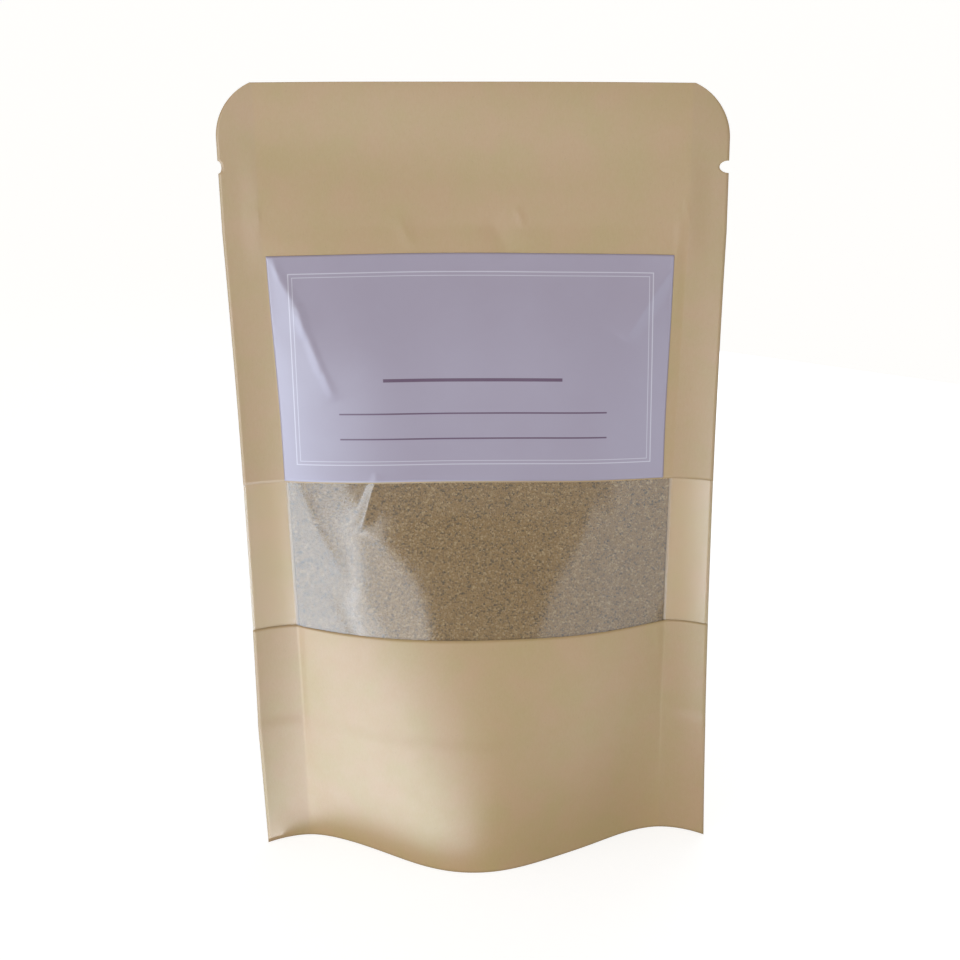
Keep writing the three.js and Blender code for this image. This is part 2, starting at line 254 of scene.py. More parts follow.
BACK_CREASES = [
    ((-50, 160), (-34, 128), 0.6, 5, 4),
    ((49, 158), (38, 122), 0.7, 4, 6),
    ((-47, 78), (-30, 60), 0.5, 4, 4),
    ((46, 70), (26, 52), 0.5, 4, 4),
    ((-20, 150), (22, 142), 0.35, 4, 6),
]
print("creases in front", len(FRONT_CREASES), "and behind", len(BACK_CREASES))

# %% Middle plane and stand-off
MARGIN_SEED, FRONT_SEED, BACK_SEED = 3, 11, 12
# Length and height
MARGIN_WAVES = (60, 0.14)
FACE_WAVES = (26, 0.07)
SLACK_DEPTH = 1.5
SEAL_FADE = 3
PLY_ROOM = 0.24
ROOM_FADE = 2
LINING_GAP = 0.03


def middle(x, z):
    """Middle plane of the pouch, with its bow, its flared hem and the waves of its margins."""
    low = np.clip(1 - z / SLACK_HEIGHT, 0, 1)
    bow = TOP_BOW * (1 - (2 * x / WIDTH) ** 2) * (1 - low) ** 2
    bow = bow * (1 - TOP_RETURN * ease(RETURN_FOOT, HEIGHT, z))
    out = np.clip((np.abs(x) - seal_half(z)) / (body_half(z) - seal_half(z)), 0, 1)
    hem = (HEM_SET * ease(SET_FROM, seal_half(0.0), x) - HEM_FLARE * out**2) * low
    dents = sum(crease(x, z, *dent) for dent in MARGIN_DENTS)
    waves = soft_waves(x, z, MARGIN_SEED, *MARGIN_WAVES)
    return bow + hem + waves - dents


def relief(x, z, creases, seed):
    """Creases and waves of one face, none of them past the side seals."""
    deep = bulge(x, z)
    slack = deep / (deep + SLACK_DEPTH)
    rise = soft_waves(x, z, seed, *FACE_WAVES) * slack
    within = ease(0, SEAL_FADE, seal_half(z) - np.abs(x))
    for fold in creases:
        rise = rise + crease(x, z, *fold) * within
    return rise


def stand_off(x, z, side):
    """Distance from the middle plane to the inside of the lining, on the front or the back."""
    room = PLY_ROOM * (1 - ease(FOLD_DEPTH - ROOM_FADE, FOLD_DEPTH + ROOM_FADE, z))
    creases, seed = (FRONT_CREASES, FRONT_SEED) if side < 0 else (BACK_CREASES, BACK_SEED)
    return LINING_GAP + bulge(x, z) + zip_rise(x, z) + room + relief(x, z, creases, seed)


print("stand-off at the middle of the label", round(float(stand_off(0.0, 130.0, -1)), 2), "mm")

# %% [markdown]
# ## Camera
# The picture is taken from a little above and a little to the right, and the pouch stands left of
# the lens's axis, as in a picture that was cut down afterwards. A lens shift keeps that: it moves
# the picture without turning the camera.

# %% Make the camera
CAMERA_PLACE = Vector((9.99, -420.0, 261.3)) * MM
CAMERA_YAW = 0.0369
CAMERA_PITCH = 0.3632
CAMERA_ROLL = 0.0062
LENS_MM = 67.07
SENSOR_MM = 36.0
AXIS_SHIFT = -0.1053

camera_data = bpy.data.cameras.new("camera")
camera_data.lens = LENS_MM
camera_data.sensor_width = SENSOR_MM
camera_data.shift_x = AXIS_SHIFT
camera = add_object("camera", camera_data)
ahead = Vector((
    math.sin(CAMERA_YAW) * math.cos(CAMERA_PITCH),
    math.cos(CAMERA_YAW) * math.cos(CAMERA_PITCH),
    -math.sin(CAMERA_PITCH),
))
level_right = Vector((math.cos(CAMERA_YAW), -math.sin(CAMERA_YAW), 0))
level_up = level_right.cross(ahead)
right = math.cos(CAMERA_ROLL) * level_right + math.sin(CAMERA_ROLL) * level_up
up = math.cos(CAMERA_ROLL) * level_up - math.sin(CAMERA_ROLL) * level_right
turn = Matrix((right, up, -ahead)).transposed()
camera.matrix_world = Matrix.Translation(CAMERA_PLACE) @ turn.to_4x4()
bpy.context.scene.camera = camera
print("camera looks down by", round(math.degrees(CAMERA_PITCH), 1), "degrees")

# %% [markdown]
# ## Studio
# Glossy film and satin paper show the lights more than their own colour. In the picture a large
# soft window stands at the left front, with a thinner curtain beside it, and a weaker light at the
# right front. Between them is a gap, where the camera stands. The film mirrors the lights at its
# sides and the gap in its middle, so the sage looks dark and deep there. Upright panels on the
# floor give the same: the window, its curtain, the curtain's low foot, and one at the right. A
# weak panel behind shows the form of the back. All are hidden from the camera, but not from
# reflections.


# %% Upright panels
def light_panel(name, azimuth, width, height, radiance, tone):
    """An upright soft panel standing on the floor and facing the pouch."""
    data = bpy.data.lights.new(name, "AREA")
    data.shape = "RECTANGLE"
    data.size = width * MM
    data.size_y = height * MM
    data.energy = radiance * 4 * width * height * MM * MM
    data.color = tone
    panel = add_object(name, data)
    turn = math.radians(azimuth)
    away = Vector((math.sin(turn), -math.cos(turn), 0)) * PANEL_DISTANCE
    panel.location = (away + Vector((0, 0, height / 2))) * MM
    panel.rotation_euler = (math.radians(90), 0, turn)
    panel.visible_camera = False
    return panel


PANEL_DISTANCE = 450
DAYLIGHT = (0.9, 0.99, 1.1)
SKYLIGHT = (0.8, 0.98, 1.2)
# Name, azimuth in degrees, width, height, radiance, tone
PANELS = [
    ("left_window", -51.5, 395, 170, 2.65, DAYLIGHT),
    ("left_curtain", -20.4, 122, 170, 1.7, DAYLIGHT),
    ("curtain_foot", -11.2, 46, 66, 1.5, DAYLIGHT),
    ("right_panel", 44, 541, 170, 0.58, SKYLIGHT),
    ("back_light", 152, 320, 260, 1.3, SKYLIGHT),
]
for panel_values in PANELS:
    light_panel(*panel_values)
print("upright panels:", len(PANELS))

# %% [markdown]
# The lower front leans forward and mirrors the table, so four cards lie on the floor. Only glossy
# surfaces see them, so they add sheen and no other light. The air all round is a warm pale glow,
# as from the walls of a room.

# %% Cards on the floor, and the air
AIR_TONE = (1.0, 0.93, 0.83, 1)
AIR_STRENGTH = 0.57
# Name, x, y, width, depth, turn in degrees, radiance
CARDS = [
    ("near_card", -163, -127, 170, 330, -36, 2.9),
    ("front_card", -228, -445, 265, 310, 0, 2.0),
    ("right_card", 184, -254, 230, 300, 32, 0.55),
    ("right_foot", 92, -92, 80, 130, 0, 0.9),
]
for name, x, y, width, depth, turn, radiance in CARDS:
    card = light_panel(name, 0, width, depth, radiance, SKYLIGHT)
    card.location = Vector((x, y, 1)) * MM
    card.rotation_euler = (math.radians(180), 0, math.radians(turn))
    card.visible_diffuse = False

world = bpy.data.worlds.new("studio_air")
bpy.context.scene.world = world
world.use_nodes = True
air = world.node_tree.nodes["Background"]
air.inputs["Color"].default_value = AIR_TONE
air.inputs["Strength"].default_value = AIR_STRENGTH
bpy.context.scene.view_settings.view_transform = "Standard"
print("cards:", len(CARDS), "and air of strength", AIR_STRENGTH)

# %% [markdown]
# ## Node helpers
# A finish is a small graph of nodes. These helpers each add one node and give back its output, so
# that a finish reads as a list of what it is made of.


# %% Short names for shader nodes
def add_node(tree, kind, **settings):
    node = tree.nodes.new(kind)
    for name, value in settings.items():
        setattr(node, name, value)
    return node


def feed(tree, socket, value):
    """Sets an input to a number or colour, or links it to another node's output."""
    if isinstance(value, bpy.types.NodeSocket):
        tree.links.new(value, socket)
    elif isinstance(value, tuple) and len(value) == 3 and socket.type == "RGBA":
        socket.default_value = (*value, 1)
    else:
        socket.default_value = value


def wire(tree, kind, inputs, **settings):
    """A node whose inputs are fed by their names."""
    node = add_node(tree, kind, **settings)
    for label, value in inputs.items():
        feed(tree, node.inputs[label], value)
    return node


def calc(tree, operation, a, b=0.0):
    node = add_node(tree, "ShaderNodeMath", operation=operation)
    feed(tree, node.inputs[0], a)
    feed(tree, node.inputs[1], b)
    return node.outputs[0]


def blend_colour(tree, share, a, b, kind="MIX"):
    """Mixes two colours. The Mix node's colour sockets are its inputs 6 and 7 and its output 2."""
    node = wire(tree, "ShaderNodeMix", {"Factor": share}, data_type="RGBA", blend_type=kind)
    feed(tree, node.inputs[6], a)
    feed(tree, node.inputs[7], b)
    return node.outputs[2]


def spread(tree, value, low, high, to_low=0.0, to_high=1.0):
    """Stretches a value from one range to another, and stops at its ends."""
    node = add_node(tree, "ShaderNodeMapRange", clamp=True)
    for socket, number in zip(node.inputs, (value, low, high, to_low, to_high)):
        feed(tree, socket, number)
    return node.outputs[0]


def noise(tree, vector, scale, detail=3.0, rough=0.5):
    settings = {"Vector": vector, "Scale": scale, "Detail": detail, "Roughness": rough}
    return wire(tree, "ShaderNodeTexNoise", settings).outputs["Fac"]


def bump(tree, height, strength, distance):
    settings = {"Strength": strength, "Distance": distance * MM, "Height": height}
    return wire(tree, "ShaderNodeBump", settings).outputs["Normal"]


def object_place(tree):
    return add_node(tree, "ShaderNodeTexCoord").outputs["Object"]


def attribute(tree, name):
    return add_node(tree, "ShaderNodeAttribute", attribute_name=name).outputs["Fac"]


def new_finish(name):
    """A material with a Principled shader, as (material, tree, shader)."""
    finish = bpy.data.materials.new(name)
    finish.use_nodes = True
    return finish, finish.node_tree, finish.node_tree.nodes["Principled BSDF"]


def dress(tree, shader, colour, roughness, normal=None):
    feed(tree, shader.inputs["Base Color"], colour)
    feed(tree, shader.inputs["Roughness"], roughness)
    if normal:
        feed(tree, shader.inputs["Normal"], normal)


def new_group(name, inputs, outputs):
    """A shader group with number inputs, each with a first value, and number outputs."""
    group = bpy.data.node_groups.new(name, "ShaderNodeTree")
    for label, value in inputs.items():
        socket = group.interface.new_socket(label, in_out="INPUT", socket_type="NodeSocketFloat")
        socket.default_value = value
    for label in outputs:
        group.interface.new_socket(label, in_out="OUTPUT", socket_type="NodeSocketFloat")
    return group, group.nodes.new("NodeGroupInput"), group.nodes.new("NodeGroupOutput")


def use_group(tree, group, **values):
    inputs = {label.replace("_", " "): value for label, value in values.items()}
    return wire(tree, "ShaderNodeGroup", inputs, node_tree=group)


print("node helpers ready")

# %% [markdown]
# ## Floor
# The picture's ground is plain white. The floor glows a little, and more for the camera than for
# the pouch, so it shows as white without lighting the pouch too much.

# %% Floor
FLOOR_HALF = 12.0
FLOOR_DROP = 0.1 * MM
FLOOR_TONE = (0.5, 0.5, 0.5)
FLOOR_ROUGHNESS = 0.8
GLOW_TONE = (0.97, 0.985, 1.0)
GLOW = 0.32
CAMERA_GLOW = 0.4

floor_mesh = bpy.data.meshes.new("floor")
floor_corners = [(-1, -1), (1, -1), (1, 1), (-1, 1)]
floor_points = [(x * FLOOR_HALF, y * FLOOR_HALF, -FLOOR_DROP) for x, y in floor_corners]
floor_mesh.from_pydata(floor_points, [], [(0, 1, 2, 3)])
floor = add_object("floor", floor_mesh)
floor_finish, tree, shader = new_finish("floor_paper")
dress(tree, shader, FLOOR_TONE, FLOOR_ROUGHNESS)
feed(tree, shader.inputs["Emission Color"], GLOW_TONE)
seen = add_node(tree, "ShaderNodeLightPath").outputs["Is Camera Ray"]
glow = calc(tree, "ADD", calc(tree, "MULTIPLY", seen, CAMERA_GLOW), GLOW)
feed(tree, shader.inputs["Emission Strength"], glow)
floor_mesh.materials.append(floor_finish)
print("floor", 2 * FLOOR_HALF, "m wide")

# %% [markdown]
# ## Shared effects: paper fibre and cloudy tone
# Kraft paper is long brown fibres pressed flat. Close up it shows short streaks that lie mostly
# along the web, and from a step away soft clouds a centimetre wide where the sheet is denser. The
# label and the sage use the same clouds at another size. Both effects only put out values, and
# each finish stretches the part of their range that it uses.


# %% Fibre and cloud groups
MID_RANGE = (0.35, 0.65)
WIDE_RANGE = (0.3, 0.7)
FIBRE_LEANS = (0.6, -0.9)
FIBRE_STRETCH = (1.0, 1.0, 0.35)
WISP_RATIO = 3.1


def make_fibre_group():
    group, given, result = new_group(
        "paper_fibre", {"Streak scale": 900.0, "Fleck scale": 1500.0}, ["Fibre", "Fleck"]
    )
    where = object_place(group)
    streaks = []
    for angle in FIBRE_LEANS:
        lean = {"Vector": where, "Rotation": (0, angle, 0), "Scale": FIBRE_STRETCH}
        leaning = wire(group, "ShaderNodeMapping", lean).outputs["Vector"]
        streaks.append(noise(group, leaning, given.outputs["Streak scale"], detail=2.0, rough=0.6))
    group.links.new(calc(group, "MULTIPLY", *streaks), result.inputs["Fibre"])
    fleck = noise(group, where, given.outputs["Fleck scale"], detail=2.0, rough=0.7)
    group.links.new(fleck, result.inputs["Fleck"])
    return group


def make_cloud_group():
    group, given, result = new_group("soft_clouds", {"Cloud scale": 100.0}, ["Cloud", "Wisp"])
    where = object_place(group)
    cloud = noise(group, where, given.outputs["Cloud scale"], detail=3.0, rough=0.55)
    group.links.new(cloud, result.inputs["Cloud"])
    finer = calc(group, "MULTIPLY", given.outputs["Cloud scale"], WISP_RATIO)
    wisp = noise(group, where, finer, detail=4.0, rough=0.6)
    group.links.new(wisp, result.inputs["Wisp"])
    return group


FIBRE = make_fibre_group()
CLOUDS = make_cloud_group()
print("shared effects:", FIBRE.name, CLOUDS.name)

# %% [markdown]
# ## Finish of the kraft paper
# The paper is satin: a thin lining lies behind it and its outside is pressed smooth, so it mirrors
# the lights as a broad sheen. Its brown drifts between a pinkish and a greenish tone, with pale
# streaks and dark flecks of fibre. Where the plies are sealed together the tone is multiplied by a
# tint. On the front it is a shade darker and cooler, its cool part a painted sheen. On the back,
# whose margins show through the film, it is paler: a painted sheen for the gloss of the film there.


# %% Kraft finish
KRAFT_PINK = (0.446, 0.285, 0.132)
KRAFT_GREEN = (0.418, 0.291, 0.115)
KRAFT_DARK = (0.3, 0.2, 0.105)
KRAFT_PALE = (0.5, 0.38, 0.23)
# Effect, range, share, tone
FIBRE_TONES = [("Fibre", (0.16, 0.36), 0.1, KRAFT_PALE), ("Fleck", (0.62, 0.74), 0.35, KRAFT_DARK)]
KRAFT_BUMP = 0.2
BUMP_DEPTH = 0.05


def kraft_finish(name, roughness, seal_tint_with_sheen):
    finish, tree, shader = new_finish(name)
    clouds = use_group(tree, CLOUDS, Cloud_scale=95.0)
    fibre = use_group(tree, FIBRE, Streak_scale=2400.0, Fleck_scale=2600.0)
    drift = spread(tree, clouds.outputs["Cloud"], *MID_RANGE)
    tone = blend_colour(tree, drift, KRAFT_PINK, KRAFT_GREEN)
    for effect, span, share, other_tone in FIBRE_TONES:
        amount = calc(tree, "MULTIPLY", spread(tree, fibre.outputs[effect], *span), share)
        tone = blend_colour(tree, amount, tone, other_tone)
    # In the side seals the tone takes a tint that holds a painted sheen.
    sealed = attribute(tree, "sealed")
    tone = blend_colour(tree, sealed, tone, blend_colour(tree, 1.0, tone, seal_tint_with_sheen, "MULTIPLY"))
    gloss = spread(tree, clouds.outputs["Wisp"], *WIDE_RANGE, *roughness)
    height = calc(tree, "ADD", fibre.outputs["Fibre"], clouds.outputs["Wisp"])
    dress(tree, shader, tone, gloss, bump(tree, height, KRAFT_BUMP, BUMP_DEPTH))
    shader.inputs["Specular IOR Level"].default_value = 1.0
    return finish


# Seal tints: the front's is a shade darker and cooler, its cool part a painted sheen; the back's is
# paler, a painted sheen for the film over its margins.
KRAFT_FRONT = kraft_finish("kraft_front", (0.44, 0.53), (0.97, 0.97, 1.03))
KRAFT_BACK = kraft_finish("kraft_back", (0.44, 0.53), (1.20, 1.20, 1.14))
KRAFT_BASE = kraft_finish("kraft_base", (0.42, 0.51), (0.95, 0.95, 0.95))
print("three kraft finishes")

# %% [markdown]
# ## Finish of the window film
# The film is clear and thin. It lets everything behind it show and only adds what its surface
# mirrors, so the finish mixes a see-through shader with a glossy one by the angle of view. The
# sheet has two faces, and only its outer one may mirror, because a ray that passes straight
# through would be turned back inside at a slant. A high index then stands for both faces. Fine
# dust of the sage clings to the inside, which makes the gloss slightly soft, and the sealed
# margins are pressed, so their gloss is softer still.


# %% Film finish
FILM_TINT = (0.985, 0.98, 0.965)
FILM_INDEX = 1.88
FILM_ROUGHNESS = (0.1, 0.14)
SEALED_ROUGHNESS = 0.24


def film_finish():
    finish, tree, shader = new_finish("clear_film")
    tree.nodes.remove(shader)
    clear = wire(tree, "ShaderNodeBsdfTransparent", {"Color": FILM_TINT})
    clouds = use_group(tree, CLOUDS, Cloud_scale=160.0)
    sealed = attribute(tree, "sealed")
    rough = spread(tree, clouds.outputs["Wisp"], *WIDE_RANGE, *FILM_ROUGHNESS)
    pressed = calc(tree, "MULTIPLY", sealed, SEALED_ROUGHNESS)
    shine = wire(tree, "ShaderNodeBsdfGlossy", {"Roughness": calc(tree, "ADD", rough, pressed)})
    angle = wire(tree, "ShaderNodeFresnel", {"IOR": FILM_INDEX})
    inner = add_node(tree, "ShaderNodeNewGeometry").outputs["Backfacing"]
    share = calc(tree, "MULTIPLY", angle.outputs[0], calc(tree, "SUBTRACT", 1.0, inner))
    sum_up = add_node(tree, "ShaderNodeMixShader")
    feed(tree, sum_up.inputs[0], share)
    tree.links.new(clear.outputs[0], sum_up.inputs[1])
    tree.links.new(shine.outputs[0], sum_up.inputs[2])
    tree.links.new(sum_up.outputs[0], tree.nodes["Material Output"].inputs["Surface"])
    return finish


FILM = film_finish()
print("film finish:", FILM.name)

# %% [markdown]
# ## Finish of the label
# The label is glossy lavender paper. Its print here is plain: a thin double white line set in from
# the edge, and plum rules to write on. Both are masks worked out from the place on the label, so
# they stay sharp at any size.


# %% Label finish
LAVENDER = (0.336, 0.296, 0.387)
LAVENDER_DEEP = (0.327, 0.284, 0.372)
PLUM = (0.085, 0.03, 0.085)
WHITE_INK = (0.62, 0.6, 0.68)


def band_mask(tree, value, centre, half, soft):
    """1 where the value is within `half` of the centre, in millimetres."""
    away = calc(tree, "ABSOLUTE", calc(tree, "SUBTRACT", value, centre))
    return spread(tree, away, half - soft, half + soft, 1.0, 0.0)


# Distance in from the edge, half width, softness
BORDER_LINES = [(4.5, 0.09, 0.1), (5.4, 0.06, 0.08)]
# Height, half length, half width
RULES = [(128.0, 22.0, 0.42), (119.5, 33.0, 0.2), (113.0, 33.0, 0.2)]
RULE_SOFTNESS = 0.06
RULE_END_SOFTNESS = 0.1
LABEL_ROUGHNESS = (0.285, 0.315)
LABEL_BUMP = 0.05
LABEL_MIDDLE = (LABEL_LOW + LABEL_HIGH) / 2
LABEL_HALF = (LABEL_HIGH - LABEL_LOW) / 2


def past_edge(tree, value, centre, half):
    """How far a place lies outside the label along one axis, negative inside it."""
    away = calc(tree, "ABSOLUTE", calc(tree, "SUBTRACT", value, centre))
    return calc(tree, "SUBTRACT", away, half)


def label_finish():
    finish, tree, shader = new_finish("lavender_label")
    split = wire(tree, "ShaderNodeSeparateXYZ", {"Vector": object_place(tree)})
    x = calc(tree, "DIVIDE", split.outputs["X"], MM)
    z = calc(tree, "DIVIDE", split.outputs["Z"], MM)
    out_x = past_edge(tree, x, LABEL_MIDDLE.x, LABEL_HALF.x)
    out_z = past_edge(tree, z, LABEL_MIDDLE.z, LABEL_HALF.z)
    edge = calc(tree, "MAXIMUM", out_x, out_z)
    border = 0.0
    for inset, half, soft in BORDER_LINES:
        border = calc(tree, "MAXIMUM", border, band_mask(tree, edge, -inset, half, soft))
    rules = 0.0
    for height, reach, half in RULES:
        across = band_mask(tree, z, height, half, RULE_SOFTNESS)
        along = band_mask(tree, x, LABEL_MIDDLE.x, reach, RULE_END_SOFTNESS)
        rules = calc(tree, "MAXIMUM", rules, calc(tree, "MULTIPLY", across, along))
    cloud = use_group(tree, CLOUDS, Cloud_scale=70.0).outputs["Cloud"]
    tone = blend_colour(tree, spread(tree, cloud, *MID_RANGE), LAVENDER, LAVENDER_DEEP)
    tone = blend_colour(tree, border, tone, WHITE_INK)
    tone = blend_colour(tree, rules, tone, PLUM)
    gloss = spread(tree, cloud, *WIDE_RANGE, *LABEL_ROUGHNESS)
    dress(tree, shader, tone, gloss, bump(tree, cloud, LABEL_BUMP, BUMP_DEPTH))
    shader.inputs["Specular IOR Level"].default_value = 1.0
    return finish


LABEL_PAPER = label_finish()
print("label finish:", LABEL_PAPER.name)

# %% [markdown]
# ## Finish of the ground sage
# Ground sage is grey-green leaf broken to flakes of half a millimetre, browned by drying, with
# pale bits of stalk and dark specks. The heap gets a fine grain of those three tones, and the
# loose flakes that lie against the film read a tint of their own.


# %% Sage finishes
SAGE_DARK = (0.095, 0.064, 0.03)
SAGE_MIDDLE = (0.306, 0.19, 0.07)
SAGE_PALE = (0.49, 0.36, 0.195)
SAGE_STOPS = [(0.0, SAGE_DARK), (0.28, SAGE_MIDDLE), (0.72, SAGE_MIDDLE), (1.0, SAGE_PALE)]
HEAP_GRAIN = 0.45
HEAP_DRIFT = (-0.08, 0.08)
HEAP_ROUGHNESS = (0.75, 0.95)
HEAP_BUMP = (0.8, 0.25)
FLAKE_SHADE = (-0.1, 0.1)
FLAKE_ROUGHNESS = (0.6, 0.85)


def sage_grain(tree, vector, size):
    """A cell pattern: each cell of about `size` millimetres has its own random value."""
    settings = {"Vector": vector, "Scale": 1 / (size * MM)}
    cells = wire(tree, "ShaderNodeTexVoronoi", settings, feature="F1")
    value = wire(tree, "ShaderNodeSeparateColor", {"Color": cells.outputs["Color"]})
    return value.outputs[0], cells.outputs["Distance"]


def sage_colour(tree, value):
    ramp = wire(tree, "ShaderNodeValToRGB", {"Fac": value})
    while len(ramp.color_ramp.elements) < len(SAGE_STOPS):
        ramp.color_ramp.elements.new(0.5)
    for element, (spot, colour) in zip(ramp.color_ramp.elements, SAGE_STOPS):
        element.position = spot
        element.color = (*colour, 1)
    return ramp.outputs[0]


def heap_finish():
    finish, tree, shader = new_finish("sage_heap")
    where = object_place(tree)
    value, away = sage_grain(tree, where, HEAP_GRAIN)
    clouds = use_group(tree, CLOUDS, Cloud_scale=120.0)
    drift = spread(tree, clouds.outputs["Cloud"], *WIDE_RANGE, *HEAP_DRIFT)
    tone = sage_colour(tree, calc(tree, "ADD", value, drift))
    gloss = spread(tree, value, 0.0, 1.0, *HEAP_ROUGHNESS)
    dress(tree, shader, tone, gloss, bump(tree, away, *HEAP_BUMP))
    return finish


def flake_finish():
    finish, tree, shader = new_finish("sage_flakes")
    tint = attribute(tree, "tint")
    grain = noise(tree, object_place(tree), scale=2500.0)
    shade = spread(tree, grain, *WIDE_RANGE, *FLAKE_SHADE)
    tone = sage_colour(tree, calc(tree, "ADD", tint, shade))
    dress(tree, shader, tone, spread(tree, tint, 0.0, 1.0, *FLAKE_ROUGHNESS))
    return finish


SAGE_HEAP = heap_finish()
SAGE_FLAKES = flake_finish()
print("sage finishes:", SAGE_HEAP.name, SAGE_FLAKES.name)

# %% [markdown]
# ## Making a sheet
# Paper and film are thin, but they are solids with a cut edge, and the edge shows at the notches
# and corners. Each sheet is one grid of places across the pouch, given two faces a ply apart and
# closed round its border. The faces are shaded smooth and the cut edge flat.


# %% Sheet helper
def finish_mesh(name, points, faces, smooth, material, values=None):
    """A new object at the origin, from points in millimetres, with its faces pointing outwards."""
    a, b, c = (points[faces[:, k]] for k in (0, 1, 2))
    d = points[faces[:, 3]]
    volume = (np.cross(a, b) * c).sum() + (np.cross(a, c) * d).sum()
    if volume < 0:
        faces = faces[:, ::-1]
    mesh = bpy.data.meshes.new(name)
    mesh.from_pydata((points * MM).tolist(), [], [tuple(dict.fromkeys(face)) for face in faces.tolist()])
    mesh.polygons.foreach_set("use_smooth", smooth)
    for label, numbers in (values or {}).items():
        attribute = mesh.attributes.new(label, "FLOAT", "POINT")
        attribute.data.foreach_set("value", numbers.astype(np.float32))
    mesh.materials.append(material)
    print(name, len(mesh.polygons), "faces, volume", round(abs(volume) / 6, 1), "mm3")
    return add_object(name, mesh)


def quads(index):
    """Four-cornered faces over a grid of point numbers."""
    corners = [index[:-1, :-1], index[:-1, 1:], index[1:, 1:], index[1:, :-1]]
    return np.stack(corners, -1).reshape(-1, 4)


def closed_sheet(name, outer, inner, material, values=None):
    """outer and inner are grids of points, rows by columns by 3, with the same layout."""
    rows, columns = outer.shape[:2]
    top = np.arange(rows * columns).reshape(rows, columns)
    low = top + rows * columns
    ring = np.concatenate([top[0, :-1], top[:-1, -1], top[-1, :0:-1], top[:0:-1, 0]])
    after = np.roll(ring, -1)
    drop = rows * columns
    faces = np.concatenate([
        quads(top),
        np.roll(quads(low)[:, ::-1], 1, axis=1),
        np.stack([after, ring, ring + drop, after + drop], -1),
    ])
    smooth = np.arange(len(faces)) < len(faces) - len(ring)
    points = np.concatenate([outer.reshape(-1, 3), inner.reshape(-1, 3)])
    doubled = {k: np.concatenate([v.ravel(), v.ravel()]) for k, v in (values or {}).items()}
    return finish_mesh(name, points, faces, smooth, material, doubled)


# %% Places across the pouch
STEP = 0.8
LEAST_GAP = 0.01
NOTCH_ROWS = 13
CORNER_ROWS = 30
SEAL_EDGE_IN = -0.2
SEAL_EDGE_OUT = 0.4
BODY_COLUMNS = round(WIDTH / STEP)
FLANGE_SHARES = np.array([0.02, 0.06, 0.14, 0.25, 0.4, 0.55, 0.7, 0.82, 0.92, 1.0])


def rows_between(low, high, step=STEP):
    return np.linspace(low, high, max(2, math.ceil((high - low) / step) + 1))


def top_rows():
    """Closer rows at the tear notches, and towards the top where the corners round off."""
    notch = NOTCH_HEIGHT / 2 * np.sin(np.linspace(-np.pi / 2, np.pi / 2, NOTCH_ROWS))
    corner = CORNER_DROP * (1 - np.sin(np.linspace(0, np.pi / 2, CORNER_ROWS)))
    return np.concatenate([HEIGHT - NOTCH_DROP + notch, HEIGHT - corner])


def join_rows(*groups):
    """Sorted rows, with none so near to the last that faces would vanish between them."""
    rows = np.unique(np.concatenate(groups))
    keep = np.concatenate([[True], np.diff(rows) > LEAST_GAP])
    return rows[keep]


def pouch_grid(z_rows):
    """x and z for each row and column: even between the seals, then out to the cut edge."""
    z = z_rows[:, None]
    seal = seal_half(z)
    body = seal * np.linspace(-1, 1, BODY_COLUMNS)[None, :]
    left = -mix(seal, outline_half(z, LEFT_NOTCH_DEPTH, HEM_TUCK), FLANGE_SHARES[None, ::-1])
    right = mix(seal, outline_half(z, RIGHT_NOTCH_DEPTH), FLANGE_SHARES[None, :])
    x = np.concatenate([left, body, right], axis=1)
    return x, np.broadcast_to(z, x.shape)


def ply(name, x, z, side, low, thick, material, values=None):
    """One ply of the front (side -1) or back (side 1), from `low` outside the lining's inside."""
    base = stand_off(x, z, side)
    centre = middle(x, z)
    faces = [np.stack([x, centre + side * (base + off), z], -1) for off in (low + thick, low)]
    return closed_sheet(name, *faces, material, values)


def pouch_ply(name, z_rows, side, low, thick, material):
    """A ply that reaches to both cut edges and knows which of its points are in the side seals."""
    x, z = pouch_grid(z_rows)
    sealed = ease(SEAL_EDGE_IN, SEAL_EDGE_OUT, np.abs(x) - seal_half(z))
    return ply(name, x, z, side, low, thick, material, {"sealed": sealed})


print("columns across the body", BODY_COLUMNS)

# %% [markdown]
# ## The panels
# The pouch is cut from one web. The front is paper above and below the window, the back is paper
# all over, and the film lines the front behind the window. At the margins the front film is
# sealed straight onto the back paper, so the window runs on to both edges.

# %% Back and front panels, and the film
FILM_INNER = 0.0
FILM_THICK = 0.05
PAPER_INNER = 0.06
PAPER_THICK = 0.1

upper_rows = join_rows(rows_between(WINDOW_TOP, HEIGHT), top_rows())
lower_rows = rows_between(0, WINDOW_BOTTOM)
back_rows = join_rows(rows_between(0, HEIGHT), top_rows())
film_rows = rows_between(FILM_LOW.z, FILM_HIGH.z)

PAPER = (PAPER_INNER, PAPER_THICK)
back_panel = pouch_ply("kraft_back_panel", back_rows, 1, *PAPER, KRAFT_BACK)
upper_panel = pouch_ply("kraft_upper_panel", upper_rows, -1, *PAPER, KRAFT_FRONT)
lower_panel = pouch_ply("kraft_lower_panel", lower_rows, -1, *PAPER, KRAFT_FRONT)
window_film = pouch_ply("clear_window_film", film_rows, -1, FILM_INNER, FILM_THICK, FILM)

# %% [markdown]
# ## The label
# The label is stuck over the paper, so it is one more ply with the same creases. Its sides lean in
# with the body of the pouch, and its top is a little wider than its foot.

# %% Label sheet
LABEL_THICK = 0.09
LABEL_INNER = PAPER_INNER + PAPER_THICK + 0.02
LABEL_STEP = 0.5
LABEL_COLUMNS = 220
LABEL_SPREAD = 0.012
SPREAD_FOOT = 110
SPREAD_TOP = 155

